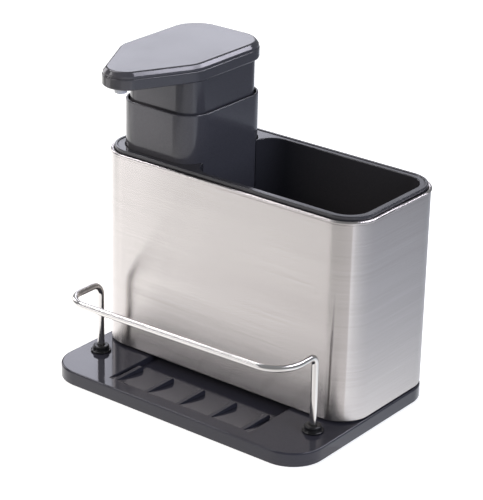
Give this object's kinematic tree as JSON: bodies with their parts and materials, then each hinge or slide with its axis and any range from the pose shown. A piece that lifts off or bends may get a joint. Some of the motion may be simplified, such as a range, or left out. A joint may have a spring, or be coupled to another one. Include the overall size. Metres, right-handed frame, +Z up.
{
  "type": "soap pump caddy",
  "caption": "Sink caddy: steel-sleeved tub with a brush bin, a lift-out pump soap bottle, and a draining tray with a wire rail for a sponge.",
  "frame": {"origin": "centre of the tray's plan, at the underside of the foot pads", "axes": "+X to the right along the front, +Y to the back, +Z up"},
  "size_m": [0.18, 0.128, 0.188],
  "materials": {
    "tray_plastic": "injection-moulded, glossy charcoal",
    "foot_rubber": "matt black pads",
    "polished_rail": "bent stainless wire, polished",
    "grommet_rubber": "glossy black, turned collar",
    "brushed_steel": "stainless sheet brushed lengthwise, rolled hem",
    "tub_plastic": "injection-moulded, satin charcoal",
    "base_plastic": "moulded, black",
    "screw_steel": "zinc-plated",
    "bottle_plastic": "moulded, glossy charcoal",
    "pump_plastic": "moulded, black",
    "seal_rubber": "soft, black",
    "natural_plastic": "milky, uncoloured",
    "spring_steel": "bright stainless",
    "head_plastic": "injection-moulded, glossy charcoal",
    "nozzle_plastic": "pale, slightly clear"
  },
  "bodies": {
    "base": {"tray": "tray_plastic", "tray_feet": "foot_rubber", "guard_rail": "polished_rail", "rail_grommets": "grommet_rubber"},
    "caddy": {"steel_sleeve": "brushed_steel", "inner_tub": "tub_plastic", "base_cap": "base_plastic", "base_cap_screws": "screw_steel"},
    "bottle_body": {"bottle": "bottle_plastic"},
    "pump": {"pump_plate": "pump_plastic", "plate_gasket": "seal_rubber", "housing_gasket": "seal_rubber", "pump_housing": "natural_plastic", "closure_ring": "pump_plastic", "chaplet": "natural_plastic", "ball_cage": "natural_plastic", "return_spring": "spring_steel", "dip_tube": "natural_plastic"},
    "foot_valve": {"inlet_ball": "spring_steel"},
    "head": {"head_shell": "head_plastic", "head_cover": "head_plastic", "delivery_tube": "natural_plastic", "spout_nozzle": "nozzle_plastic", "pump_stem": "natural_plastic", "piston": "seal_rubber"},
    "head_valve": {"outlet_ball": "spring_steel"}
  },
  "joints": [
    {"name": "caddy_lift", "type": "slide", "parent": "base", "child": "caddy", "axis": [0, 0, 1], "range_m": [0, 0.06]},
    {"name": "bottle_lift", "type": "slide", "parent": "caddy", "child": "bottle_body", "axis": [0, 0, 1], "range_m": [0, 0.15]},
    {"name": "pump_lift", "type": "slide", "parent": "bottle_body", "child": "pump", "axis": [0, 0, 1], "range_m": [0, 0.14]},
    {"name": "head_press", "type": "slide", "parent": "pump", "child": "head", "axis": [0, 0, -1], "range_m": [0, 0.014], "stiffness_N_per_m": 600, "springref_m": -0.006, "deforming": ["return_spring"]},
    {"name": "inlet_ball_lift", "type": "slide", "parent": "pump", "child": "foot_valve", "axis": [0, 0, 1], "range_m": [0, 0.0015]},
    {"name": "outlet_ball_lift", "type": "slide", "parent": "head", "child": "head_valve", "axis": [0, 0, 1], "range_m": [0, 0.0012]}
  ]
}
